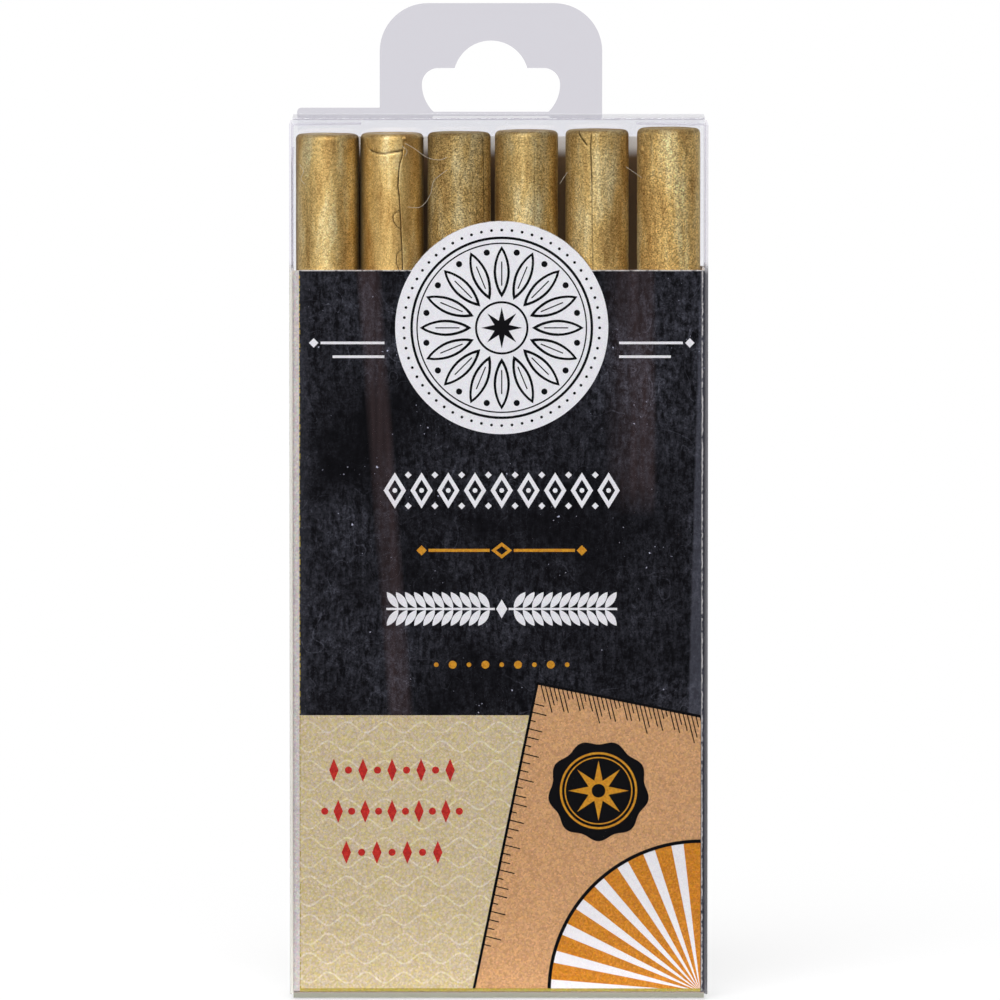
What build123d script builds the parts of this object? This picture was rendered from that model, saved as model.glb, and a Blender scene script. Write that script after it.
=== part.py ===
from build123d import *
from math import sqrt
import os

# Clear hanging box of sealing wax sticks with a printed card wrapped round them, in millimetres.
# X runs to the right and Z up, the front faces -Y, and the origin is the middle of the base.
# The box is one sheet folded along creases, and each panel between two creases is a solid.

# Wax sticks, listed from left to right
stick_diameter = 7.4
stick_lengths = [99.7, 99.8, 99.9, 100.1, 100.2, 100.4]
stick_spaces = [0.1, 0.4, 0.4, 0.8, 0.9]
stick_end_radius = 0.6

# Clear sheet
sheet = 0.25
fold_radius = 0.4
crease_gap = 0.05

# Clearances inside the box
stick_play = 0.2
card_play = 0.12
layer_play = 0.05
tuck_play = 0.15
tuck_swing = 0.62
head_room = 0.4

# Closing flaps at the top and the bottom
top_dust_drop = 0.7
bottom_dust_drop = 0.4
tuck_length = 4.6
tuck_side_inset = 0.5
tuck_corner_radius = 2.5
dust_length = 8.2
dust_front_inset = 1.2
dust_rear_gap = 0.9
dust_shoulder = 2.4
dust_front_taper = 2.2
dust_rear_taper = 0.9

# Glued seam inside the left panel
glue_width = 7.0
glue_end_inset = 3.0
glue_end_taper = 2.0

# Hang tab and its slot
tab_width = 25.9
tab_height = 12.9
tab_corner_radius = 5.6
tab_shift = -0.9
slot_lift = 0.25
slot_width = 16.1
slot_foot_width = 13.4
slot_height = 8.3
slot_waist = 3.2
slot_shoulder = 5.1
slot_dome_radius = 4.4

# Printed card
board = 0.3
card_fold_radius = 0.45
card_height = 84.1
card_back_room = 2.3
card_left_margin = 0.9
badge_radius = 12.4
badge_rise = 5.7
badge_shift = 0.35

# Plan of the box, worked out from what it holds
stick_count = len(stick_lengths)
sticks_width = stick_count * stick_diameter + sum(stick_spaces)
tuck_room = tuck_swing + sheet + tuck_play
width = 3 * sheet + 2 * stick_play + sticks_width + board + card_play
depth = 2 * sheet + card_play + 2 * board + 2 * stick_play + stick_diameter + tuck_room
panel_width = width - 2 * fold_radius
front_inside = -depth / 2 + sheet
back_inside = depth / 2 - sheet
left_inside = -width / 2 + sheet
right_inside = width / 2 - sheet

# Creases, at the middle of the sheet
hinge_y = -depth / 2 + sheet / 2
tuck_y = back_inside - tuck_swing - sheet / 2
side_crease_x = width / 2 - sheet / 2
bottom_lid_z = sheet / 2
bottom_dust_z = bottom_lid_z + bottom_dust_drop
load_z = bottom_dust_z + sheet / 2 + layer_play
top_dust_z = load_z + max(stick_lengths) + head_room + sheet / 2
top_lid_z = top_dust_z + top_dust_drop
box_top = top_lid_z + sheet / 2

# Faces of the card and the line of the sticks
card_front_y = front_inside + card_play
stick_y = card_front_y + board + stick_play + stick_diameter / 2
card_back_y = back_inside - tuck_room
card_right_x = right_inside - card_play
card_left_x = left_inside + card_left_margin
card_top = load_z + card_height
card_back_top = top_lid_z - sheet / 2 - card_back_room
first_stick_x = left_inside + sheet + stick_play + stick_diameter / 2


def upright(plan, bottom, top):
    """A plan drawn in X and Y, raised between two heights."""
    return Pos(0, 0, bottom) * extrude(plan, top - bottom)


def standing_plate(outline, back, thickness):
    """An outline drawn in X and Z, thickened towards the front from the plane y = back."""
    return extrude(Plane((0, back, 0), x_dir=(1, 0, 0), z_dir=(0, -1, 0)) * outline, thickness)


def span(low, high):
    """The middle and the length between two numbers."""
    return (low + high) / 2, high - low


def rectangle_between(left, right, low, high):
    """A rectangle given by its sides."""
    x, across = span(left, right)
    y, along = span(low, high)
    return Pos(x, y) * Rectangle(across, along)


def folded_ring(across, along, wall, radius):
    """The plan of a sheet folded round a rectangle, with rounded folds."""
    inside = RectangleRounded(across - 2 * wall, along - 2 * wall, radius - wall)
    return RectangleRounded(across, along, radius) - inside


def front_panel():
    """Flat front, with its top and bottom edges rounded where the lids crease."""
    profile = SlotCenterToCenter(top_lid_z - bottom_lid_z, sheet, rotation=90)
    middle = Pos(hinge_y, (top_lid_z + bottom_lid_z) / 2)
    return extrude(Plane.YZ * (middle * profile), panel_width / 2, both=True)


def back_panel():
    """Flat back, as high as the closed lid."""
    outline = rectangle_between(-panel_width / 2, panel_width / 2, 0, box_top)
    return standing_plate(outline, depth / 2, sheet)


def slot_outline():
    """Hang slot with a dome and two wings, drawn from the middle of its flat bottom."""
    half = slot_width / 2
    foot = slot_foot_width / 2
    corner = slot_shoulder - slot_waist
    dome_middle = slot_height - slot_dome_radius
    neck = sqrt(slot_dome_radius**2 - (slot_shoulder - dome_middle) ** 2)
    flank = TangentArc((half, slot_waist), (foot, 0), tangent=(0, -1))
    wing = TangentArc((half, slot_waist), (half - corner, slot_shoulder), tangent=(0, 1))
    shoulder = Line((half - corner, slot_shoulder), (neck, slot_shoulder))
    right = [flank, wing, shoulder]
    left = [mirror(edge, about=Plane.YZ) for edge in right]
    base = Line((-foot, 0), (foot, 0))
    dome = ThreePointArc((neck, slot_shoulder), (0, slot_height), (-neck, slot_shoulder))
    return make_face([base, dome, *right, *left])


def hang_tab():
    """Tongue of the back panel above the lid, with rounded top corners and the hang slot."""
    tongue = rectangle_between(-tab_width / 2, tab_width / 2, 0, tab_height)
    top_corners = tongue.vertices().group_by(Axis.Y)[-1]
    outline = fillet(top_corners, tab_corner_radius) - Pos(0, slot_lift) * slot_outline()
    return standing_plate(Pos(tab_shift, box_top) * outline, depth / 2, sheet)


def side_panel():
    """Right side with its two upright folds, and a rounded edge at the crease of each dust flap."""
    strip = rectangle_between(width / 2 - fold_radius, width / 2, -depth / 2, depth / 2)
    plan = folded_ring(width, depth, sheet, fold_radius) & strip
    wall = upright(plan, bottom_dust_z, top_dust_z)
    crease = Cylinder(sheet / 2, depth - 2 * fold_radius, rotation=(90, 0, 0))
    return wall + [Pos(side_crease_x, 0, z) * crease for z in (bottom_dust_z, top_dust_z)]


def glue_flap():
    """Seam strip glued inside the left panel, with tapered ends."""
    back = depth / 2 - fold_radius
    low = bottom_dust_z + glue_end_inset
    high = top_dust_z - glue_end_inset
    outline = make_face(
        Polyline(
            (back, low),
            (back, high),
            (back - glue_width, high - glue_end_taper),
            (back - glue_width, low + glue_end_taper),
            close=True,
        )
    )
    return Pos(left_inside, 0, 0) * extrude(Plane.YZ * outline, sheet)


def lid(crease_z):
    """Flat lid from the front crease to the rounded crease of its tuck flap."""
    start = hinge_y + sheet / 2 + crease_gap
    low = crease_z - sheet / 2
    high = crease_z + sheet / 2
    flat = Polyline((tuck_y, high), (start, high), (start, low), (tuck_y, low))
    nose = ThreePointArc((tuck_y, low), (tuck_y + sheet / 2, crease_z), (tuck_y, high))
    return extrude(Plane.YZ * make_face([flat, nose]), panel_width / 2, both=True)


def tuck_flap(crease_z, direction):
    """Flap that tucks in front of the back panel, down from the top lid or up from the bottom one."""
    half = panel_width / 2 - tuck_side_inset
    start = sheet / 2 + crease_gap
    outline = rectangle_between(-half, half, start, tuck_length)
    tip_corners = outline.vertices().group_by(Axis.Y)[-1]
    outline = fillet(tip_corners, tuck_corner_radius)
    if direction < 0:
        outline = mirror(outline, about=Plane.XZ)
    return standing_plate(Pos(0, crease_z) * outline, tuck_y + sheet / 2, sheet)


def dust_flap(crease_z):
    """Right flap under or over a lid, tapered so that the lid and the tuck flap pass it."""
    root = side_crease_x - sheet / 2 - crease_gap
    shoulder = side_crease_x - dust_shoulder
    tip = side_crease_x - dust_length
    front = hinge_y + dust_front_inset
    rear = tuck_y - sheet / 2 - dust_rear_gap
    outline = make_face(
        Polyline(
            (root, front),
            (shoulder, front),
            (tip, front + dust_front_taper),
            (tip, rear - dust_rear_taper),
            (shoulder, rear),
            (root, rear),
            close=True,
        )
    )
    return upright(outline, crease_z - sheet / 2, crease_z + sheet / 2)


def card_front():
    """Front of the card, with the round badge cut to stand above its top edge."""
    panel = rectangle_between(card_left_x, card_right_x - card_fold_radius, load_z, card_top)
    badge = Pos(badge_shift, card_top + badge_rise - badge_radius) * Circle(badge_radius)
    return standing_plate(panel + badge, card_front_y + board, board)


def card_side():
    """Right side of the card with its two folds."""
    across = 2 * card_right_x
    ring = folded_ring(across, card_back_y - card_front_y, board, card_fold_radius)
    strip = rectangle_between(card_right_x - card_fold_radius, card_right_x, -depth / 2, depth / 2)
    plan = Pos(0, (card_back_y + card_front_y) / 2) * ring & strip
    return upright(plan, load_z, card_top)


def card_back():
    """Tall back of the card, behind the whole row of sticks."""
    panel = rectangle_between(card_left_x, card_right_x - card_fold_radius, load_z, card_back_top)
    return standing_plate(panel, card_back_y, board)


def wax_stick(x, length):
    """Cast stick with softened ends."""
    bar = upright(Pos(x, stick_y) * Circle(stick_diameter / 2), load_z, load_z + length)
    return fillet(bar.edges().filter_by(GeomType.CIRCLE), stick_end_radius)


def mirrored(solid):
    """The left twin of a right piece."""
    return mirror(solid, about=Plane.YZ)


nodes = {
    "front_panel": front_panel(),
    "back_panel": back_panel(),
    "hang_tab": hang_tab(),
    "left_side_panel": mirrored(side_panel()),
    "right_side_panel": side_panel(),
    "glue_flap": glue_flap(),
    "card_front": card_front(),
    "card_side": card_side(),
    "card_back": card_back(),
}

closures = [("top", top_lid_z, top_dust_z, -1), ("bottom", bottom_lid_z, bottom_dust_z, 1)]
for end, lid_z, dust_z, inward in closures:
    nodes[f"{end}_lid"] = lid(lid_z)
    nodes[f"{end}_tuck_flap"] = tuck_flap(lid_z, inward)
    nodes[f"{end}_dust_flap_left"] = mirrored(dust_flap(dust_z))
    nodes[f"{end}_dust_flap_right"] = dust_flap(dust_z)

stick_x = first_stick_x
for number, length in enumerate(stick_lengths):
    nodes[f"wax_stick_{number + 1}"] = wax_stick(stick_x, length)
    if number < len(stick_spaces):
        stick_x += stick_diameter + stick_spaces[number]

os.makedirs("parts", exist_ok=True)
for name, solid in nodes.items():
    export_step(solid, f"parts/{name}.step")

print(f"box {width:.3f} x {depth:.3f} x {box_top:.3f}, with the tab {box_top + tab_height:.3f}")
print(f"lid creases y {hinge_y:.4f} z {top_lid_z:.4f} {bottom_lid_z:.4f}, tuck creases y {tuck_y:.4f}")
print(f"dust creases x {side_crease_x:.4f} z {top_dust_z:.4f} {bottom_dust_z:.4f}")
print(f"sticks from x {first_stick_x:.4f}, y {stick_y:.4f}, base {load_z:.4f}, card top {card_top:.4f}")
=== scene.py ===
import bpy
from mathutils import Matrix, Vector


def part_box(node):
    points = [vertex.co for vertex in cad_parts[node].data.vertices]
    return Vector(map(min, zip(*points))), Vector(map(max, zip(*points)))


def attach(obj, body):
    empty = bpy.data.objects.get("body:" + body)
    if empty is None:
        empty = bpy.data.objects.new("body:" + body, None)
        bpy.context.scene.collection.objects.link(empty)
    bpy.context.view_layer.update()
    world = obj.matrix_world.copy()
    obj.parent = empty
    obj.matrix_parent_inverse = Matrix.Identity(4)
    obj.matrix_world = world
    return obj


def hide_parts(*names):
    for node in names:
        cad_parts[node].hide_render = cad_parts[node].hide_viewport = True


bl_info = {
    "name": "Sealing wax stick pack",
    "version": (1, 0, 0),
    "blender": (4, 5, 0),
    "location": "3D View > Sidebar > Wax pack",
    "description": "Dresses a clear hanging box of gold sealing wax gun sticks and its printed card",
    "category": "Object",
}

import math
import random
from collections import namedtuple

import bmesh
import bpy
import numpy as np
from mathutils import Vector, noise
from mathutils.geometry import tessellate_polygon

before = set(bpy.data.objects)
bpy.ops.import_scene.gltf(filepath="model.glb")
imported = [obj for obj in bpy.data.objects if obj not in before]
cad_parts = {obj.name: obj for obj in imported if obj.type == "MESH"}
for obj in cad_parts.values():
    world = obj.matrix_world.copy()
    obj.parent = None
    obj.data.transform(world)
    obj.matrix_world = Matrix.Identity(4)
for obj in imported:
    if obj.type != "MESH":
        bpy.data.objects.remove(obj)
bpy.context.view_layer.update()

MM = 0.001
STICKS = [f"wax_stick_{number}" for number in range(1, 7)]
CLOSURE = ("lid", "tuck_flap", "dust_flap_left", "dust_flap_right")
FLAPS = [f"{end}_{flap}" for end in ("top", "bottom") for flap in CLOSURE]
PANELS = ["front_panel", "back_panel", "left_side_panel", "right_side_panel", "glue_flap"]

# The height of the card's straight top cut, and where the card folds round to its right side.
CARD_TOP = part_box("card_side")[1].z
FOLD_X = 23.6 * MM


def linear(hex_colour):
    """An sRGB hex colour as the linear colour that shaders take."""
    parts = [int(hex_colour[i : i + 2], 16) / 255 for i in (1, 3, 5)]
    return tuple(p / 12.92 if p <= 0.04045 else ((p + 0.055) / 1.055) ** 2.4 for p in parts) + (1.0,)


def colour_property(name, description, hex_colour):
    """A colour that the user can change."""
    return bpy.props.FloatVectorProperty(
        name=name, description=description, subtype="COLOR", size=4, min=0, max=1, default=linear(hex_colour)
    )


def length_property(name, description, millimetres):
    """A length that the user can change, kept in metres."""
    return bpy.props.FloatProperty(
        name=name,
        description=description,
        subtype="DISTANCE",
        unit="LENGTH",
        precision=5,
        default=millimetres * MM,
    )


def share_property(name, description, share):
    """A share between nothing and all."""
    return bpy.props.FloatProperty(
        name=name, description=description, subtype="FACTOR", min=0, max=1, default=share
    )


class WaxSettings(bpy.types.PropertyGroup):
    """Sizes and colours of the wax."""

    light: colour_property("Light gold", "Wax where the mica lies flat in the skin", "#f5ebbe")
    middle: colour_property("Gold", "Wax over most of the stick", "#dfc482")
    dark: colour_property("Dark gold", "Wax where little mica reached the skin", "#ac8344")
    # Painted shade: this colour darkens the cracks, the rear rim of the cut end and the sides beside the
    # neighbours.
    crack_and_shade: colour_property("Crack", "Unlit wax at the bottom of a crack", "#33220e")
    flake: length_property("Mica flake", "Width of one mica flake", 0.14)
    streak: length_property("Streak", "Width of a pouring streak", 2.4)
    lump: length_property("Lumps", "How far the cast skin swells and sinks", 0.03)


class SheetSettings(bpy.types.PropertyGroup):
    """Colours of the clear sheet."""

    panel: colour_property("Panel tint", "What one face of a panel lets through", "#fefeff")
    closure: colour_property("Tab and lid tint", "What one face of the tab and lids lets through", "#eeedf1")
    edge: colour_property("Cut edge", "Sheet looked at along its thickness", "#f7f6f9")
    beside_board: colour_property("Left fold", "Sheet thickness beside the bare board", "#f0eee2")
    # Partly the whitening of a strained fold, partly a painted highlight along the bottom crease.
    strain_and_highlight: colour_property("Lower fold", "Sheet whitened along the bottom crease", "#9a9a8d")
    beside_print: colour_property("Right fold", "Sheet thickness beside the black print", "#626166")
    shoulder: length_property("Shoulder", "How far the cut left of the tab stands above the lid", 0.72)
    bands: colour_property("Rubbed bands", "Light from the bowed panel's rubbed bands", "#e6bcbe")
    haze: share_property("Haze", "Light that rubbed bands scatter", 0.017)


class CardSettings(bpy.types.PropertyGroup):
    """Colours of the card and its inks."""

    black: colour_property("Black ink", "Ground of the front", "#05060a")
    chalk: colour_property("Chalk marks", "Specks and rubbed marks in the black", "#c8cadf")
    board: colour_property("Board", "Unprinted inside of the board", "#f4f5ee")
    # Painted shade: the board behind the sticks takes this dark colour below its top margin.
    rubbing_and_shade: colour_property("Rubbed board", "Board darkened by wax and mica", "#6b5335")
    core: colour_property("Board edge", "Cut edge and worn fold", "#dcd9d6")
    white: colour_property("White ink", "Badge and ornaments", "#f7f6f8")
    gold: colour_property("Gold ink", "Rules and star", "#d9982c")
    kraft: colour_property("Kraft ink", "Brown paper panel", "#d5a576")
    cream: colour_property("Cream ink", "Pale lower field", "#d6c49e")
    pale: colour_property("Pale ink", "Waves on the cream", "#e4d7b8")
    orange: colour_property("Orange ink", "Stripes", "#d58a2e")
    red: colour_property("Red ink", "Small accents", "#c4312b")
    olive: colour_property("Yellow ink", "Fringe at the foot and the left cut", "#b4a23c")
    bare: colour_property("Bare margin", "Board left of the print", "#d7cecb")
    margin: length_property("Margin", "Width of the bare strip left of the print", 0.86)
    lint: colour_property("Lint", "Fibres behind the front panel", "#d8d0bd")
    lint_radius: length_property("Lint radius", "Half the thickness of a fibre", 0.03)
    film: length_property("Ink film", "Step in height from one ink to the next", 0.01)


class StageSettings(bpy.types.PropertyGroup):
    """Camera and studio."""

    distance: length_property("Camera distance", "From the camera to the middle of the pack", 1500)
    elevation: bpy.props.FloatProperty(
        name="Camera elevation",
        description="Angle that the camera looks down at",
        subtype="ANGLE",
        unit="ROTATION",
        default=math.radians(4.5),
    )
    aim_x: length_property("Aim across", "Point that the camera looks at, across the pack", 0.15)
    aim_z: length_property("Aim height", "Point that the camera looks at, above the floor", 57.72)
    lens: bpy.props.FloatProperty(
        name="Lens", description="Focal length on a 36 mm sensor", subtype="DISTANCE_CAMERA", default=464
    )
    floor: colour_property("Floor", "Pale floor", "#f2f2f2")


def add(tree, kind, inputs=None, **settings):
    """A shader node with its settings and sockets. A node given to a socket is linked by its first output."""
    node = tree.nodes.new(f"ShaderNode{kind}")
    for key, value in settings.items():
        setattr(node, key, value)
    for key, value in (inputs or {}).items():
        if isinstance(value, bpy.types.Node):
            value = next(socket for socket in value.outputs if socket.enabled)
        if isinstance(value, bpy.types.NodeSocket):
            tree.links.new(value, node.inputs[key])
        else:
            node.inputs[key].default_value = value
    return node


def new_material(name):
    """An empty material and its tree."""
    material = bpy.data.materials.new(name)
    material.use_nodes = True
    tree = material.node_tree
    tree.nodes.clear()
    return material, tree


def per_metre(size):
    """A texture scale that gives a pattern of that size."""
    return 1 / size


def piece(name, points, faces, body, material, smooth=True):
    """A mesh given in metres, riding on a body."""
    mesh = bpy.data.meshes.new(name)
    mesh.from_pydata([tuple(p) for p in points], [], faces)
    mesh.validate()
    mesh.polygons.foreach_set("use_smooth", [smooth] * len(mesh.polygons))
    mesh.materials.append(material)
    thing = bpy.data.objects.new(name, mesh)
    bpy.context.scene.collection.objects.link(thing)
    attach(thing, body)
    return thing


# The skin of each stick: how grainy it is, how bright beside the others, how dull (a grainy skin scatters
# light more widely), how deep the drawn ridges along it are in millimetres, and how strongly painted shade
# darkens its left and right sides where its neighbours stand close.
Skin = namedtuple("Skin", "grain tone dull ridges left right")
SKINS = {
    "wax_stick_1": Skin(0.7, 1.08, 0.54, 0.01, 0.66, 0.75),
    "wax_stick_2": Skin(0.52, 1.16, 0.54, 0.015, 0.62, 0.7),
    "wax_stick_3": Skin(1.15, 0.74, 0.76, 0.012, 0.35, 0.1),
    "wax_stick_4": Skin(0.95, 0.9, 0.56, 0.012, 0.1, 0.1),
    "wax_stick_5": Skin(0.9, 0.9, 0.66, 0.02, 0.32, 0.12),
    "wax_stick_6": Skin(0.95, 0.98, 0.76, 0.07, 0.3, 0.15),
}


def wax_material(settings, name, skin):
    """Wax cast with gold mica: a soft metallic sheen, grainy where flakes lie askew, dark in its cracks."""
    material, tree = new_material(name)
    place = add(tree, "TexCoord").outputs["Object"]
    drawn = add(tree, "Mapping", {"Vector": place, "Scale": (1, 1, 0.22)})
    poured = {"Vector": drawn, "Scale": per_metre(settings.streak), "Detail": 6.0, "Roughness": 0.62}
    streak = add(tree, "TexNoise", poured)
    ramp = add(tree, "ValToRGB", {"Fac": streak})
    ramp.color_ramp.elements[0].position = 0.28
    ramp.color_ramp.elements[0].color = settings.dark
    ramp.color_ramp.elements[1].position = 0.72
    ramp.color_ramp.elements[1].color = settings.light
    ramp.color_ramp.elements.new(0.5).color = settings.middle
    flakes = add(tree, "TexVoronoi", {"Vector": place, "Scale": per_metre(settings.flake)})
    # Flakes that lie askew show the brown wax beside them.
    askew = skin.tone * (1 - 0.6 * skin.grain)
    flat = skin.tone * (1 + 0.6 * skin.grain)
    shades = {"A": (askew, 0.85 * askew, 0.66 * askew, 1), "B": (flat, flat, flat, 1)}
    glint = add(tree, "Mix", {"Factor": flakes.outputs["Color"], **shades}, data_type="RGBA")
    gold = {"Factor": 1.0, "A": ramp, "B": glint}
    lit = add(tree, "Mix", gold, data_type="RGBA", blend_type="MULTIPLY")
    # Painted shade from the stick's points: in its cracks, round the rear rim of its cut end and down its
    # sides.
    crack_and_shade = add(tree, "Attribute", attribute_name="crack_and_shade").outputs["Fac"]
    colour = add(tree, "Mix", {"Factor": crack_and_shade, "A": lit, "B": settings.crack_and_shade}, data_type="RGBA")
    fine = {"Vector": place, "Scale": per_metre(1.5 * settings.flake), "Detail": 2.0}
    grain = add(tree, "TexNoise", fine)
    relief = {"Strength": 0.35 + 0.35 * skin.grain, "Distance": 0.015 * MM, "Height": grain}
    bump = add(tree, "Bump", relief)
    surface = {"Base Color": colour, "Metallic": 0.88, "Roughness": skin.dull, "Normal": bump}
    wax = add(tree, "BsdfPrincipled", surface)
    add(tree, "OutputMaterial", {"Surface": wax})
    return material


def fade(values, middle, width):
    """One well below the middle, nothing well above it."""
    return 0.5 - 0.5 * np.tanh((values - middle) / (2 * width))


def distance_to(path, across, down):
    """Distance of points on the skin from a line drawn on it."""
    nearest = np.full(across.shape, 1e9)
    for (x0, y0), (x1, y1) in zip(path, path[1:]):
        length = max((x1 - x0) ** 2 + (y1 - y0) ** 2, 1e-9)
        t = np.clip(((across - x0) * (x1 - x0) + (down - y0) * (y1 - y0)) / length, 0, 1)
        nearest = np.minimum(nearest, np.hypot(across - x0 - t * (x1 - x0), down - y0 - t * (y1 - y0)))
    return nearest


# Marks in each stick's skin, in millimetres: lines of (distance round the stick from its front, distance
# below its top), the width and depth of the groove, and how dark the painted shade in it is.
CRACKS = {
    "wax_stick_2": [
        (
            [(1.31, 1.9), (1.22, 2.7), (0.97, 3.35), (0.85, 4.2), (0.74, 6.0), (0.91, 7.3), (0.98, 8.6)]
            + [(1.08, 10.2), (1.13, 11.9), (1.22, 13.2), (1.31, 15.8), (1.2, 24), (1.5, 40)],
            0.075,
            0.06,
            1.0,
        ),
        (
            [(0.98, 8.75), (0.3, 9.2), (0.13, 9.5), (0.21, 10.1), (0.63, 10.7), (1.08, 11.0)],
            0.06,
            0.035,
            0.85,
        ),
        ([(1.2, 13.3), (0.62, 13.8), (0.55, 14.4), (0.57, 15.0), (0.88, 15.8)], 0.06, 0.035, 0.8),
        ([(-2.75, 1.9), (-1.63, 2.2), (-0.77, 2.24), (0.21, 2.08), (1.31, 1.88)], 0.1, 0.08, 1.0),
        ([(-3.5, 0.5), (-3.3, 1.4), (-2.75, 1.9)], 0.1, 0.05, 0.35),
        ([(1.31, 1.88), (1.53, 1.1), (1.48, 0.3)], 0.08, 0.05, 0.4),
    ],
    "wax_stick_3": [
        (
            [(2.96, 0.0), (3.12, 1.2), (3.24, 2.8), (3.3, 6.0), (3.36, 10.5), (3.3, 20), (3.4, 45)],
            0.07,
            0.06,
            0.95,
        ),
        ([(2.1, 8.0), (2.15, 9.2), (2.1, 10.5), (2.18, 12.5)], 0.05, 0.03, 0.4),
    ],
    "wax_stick_4": [([(0.95, 1.0), (1.0, 6.0), (0.9, 16.0)], 0.06, 0.02, 0.25)],
    "wax_stick_5": [
        ([(-0.69, 0.3), (-0.78, 2.1), (-0.7, 4.0), (-0.64, 5.9)], 0.07, 0.045, 0.9),
        ([(-0.64, 5.9), (-0.57, 11.6), (-0.53, 16.0), (-0.6, 30.0)], 0.055, 0.03, 0.6),
        ([(-2.5, 0.1), (-1.9, 0.88), (-1.3, 1.6)], 0.1, 0.08, 1.0),
    ],
    "wax_stick_6": [
        ([(-2.5, 0.4), (-2.2, 1.6), (-2.4, 3.2)], 0.12, 0.05, 0.4),
        ([(1.2, 0.5), (1.7, 2.0), (2.3, 3.0)], 0.1, 0.04, 0.3),
    ],
}
# Small beads and crumbs on the skin: distance round, distance below the top, radius and height.
BEADS = {
    "wax_stick_2": [(1.6, 0.45, 0.3, 0.1)],
    "wax_stick_6": [
        (-0.75, 4.3, 0.4, 0.07),
        (-3.6, 2.5, 0.3, 0.16),
        (-3.2, 2.9, 0.26, 0.12),
        (2.5, 1.6, 0.35, 0.08),
    ],
}
# Steps between points of the skin, in millimetres: in front, behind, beside a crack, down the part of the
# stick that shows above the card, and down the rest.
FRONT_STEP, REAR_STEP, CRACK_STEP, SHOWN_STEP, HIDDEN_STEP = 0.13, 0.45, 0.045, 0.14, 2.5
# The length of stick that shows above the card, and the radius of its softened ends.
SHOWN, END_RADIUS = 17.5, 0.6


def stick_columns(radius, cracks):
    """Angles round a stick, fine in front, finer beside each crack and coarse behind."""
    half = math.pi * radius
    lines = list(np.arange(-half, -half / 2, REAR_STEP)) + list(np.arange(-half / 2, half / 2, FRONT_STEP))
    lines += list(np.arange(half / 2, half, REAR_STEP))
    for crack_and_shade in cracks:
        reach = [point[0] for point in crack_and_shade[0]]
        low, high = min(reach) - 0.25, max(reach) + 0.25
        if high - low < 2:
            lines += list(np.arange(low, high, CRACK_STEP))
    lines = np.unique(np.round(lines, 3))
    kept = [lines[0]]
    for line in lines[1:]:
        if line - kept[-1] > 0.03:
            kept.append(line)
    return np.array(kept) / radius


def stick_profile(radius, length, edge):
    """Radius and distance below the top, from the middle of the top to the middle of the bottom."""
    turn = np.linspace(0, math.pi / 2, 8)
    top = [(radius - edge + edge * math.sin(a), edge - edge * math.cos(a)) for a in turn]
    caps = [(radius - edge) * share for share in (0.3, 0.6, 0.85)]
    side = list(np.arange(edge + SHOWN_STEP, SHOWN, SHOWN_STEP))
    side += list(np.arange(SHOWN + 1, length - edge - 0.5, HIDDEN_STEP))
    rows = [(r, 0.0) for r in caps] + top + [(radius, d) for d in side]
    rows += [(r, length - d) for r, d in reversed(top)] + [(r, length) for r in reversed(caps)]
    return np.array(rows)


def skin_marks(name, across, down):
    """How far the skin has sunk because of a stick's cracks and beads, and how dark the painted shade in its
    cracks is.
    """
    sink = np.zeros(across.shape)
    dark = np.zeros(across.shape)
    for path, width, depth, darkness in CRACKS.get(name, []):
        groove = np.exp(-((distance_to(path, across, down) / width) ** 2))
        sink += depth * groove
        dark = np.maximum(dark, darkness * groove)
    for s, d, size, height in BEADS.get(name, []):
        near = np.hypot(across - s, down - d) / size
        sink -= height * np.exp(-(near**4)) - 0.5 * height * np.exp(-(((near - 1.1) / 0.25) ** 2))
    if name == "wax_stick_2":
        # The skin over the top has sunk below the crack that runs across it.
        within = fade(np.abs(across + 0.85), 2.2, 0.25)
        sink += 0.045 * fade(down, 2.1, 0.05) * within
    return sink, dark


def swelling(spot, seed, lump, ridges):
    """How far the skin stands out at a spot: broad lumps, small lumps and ridges drawn along the stick."""
    broad = lump * noise.noise(spot * 0.22 + Vector((seed, 0, 0)))
    small = 0.4 * lump * noise.noise(spot * 0.9 + Vector((0, seed, 0)))
    return broad + small + ridges * noise.noise(Vector((spot.x * 0.9, spot.y * 0.9, spot.z * 0.11 + seed)))


def closed_grid(rows, count):
    """Faces of rows of points round an axis. The middle points that close the two ends come last."""
    faces = []
    for i in range(rows - 1):
        for j in range(count):
            k = (j + 1) % count
            faces.append((i * count + j, (i + 1) * count + j, (i + 1) * count + k, i * count + k))
    last, top, bottom = (rows - 1) * count, rows * count, rows * count + 1
    faces += [(top, j, (j + 1) % count) for j in range(count)]
    faces += [(bottom, last + (j + 1) % count, last + j) for j in range(count)]
    return faces


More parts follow.
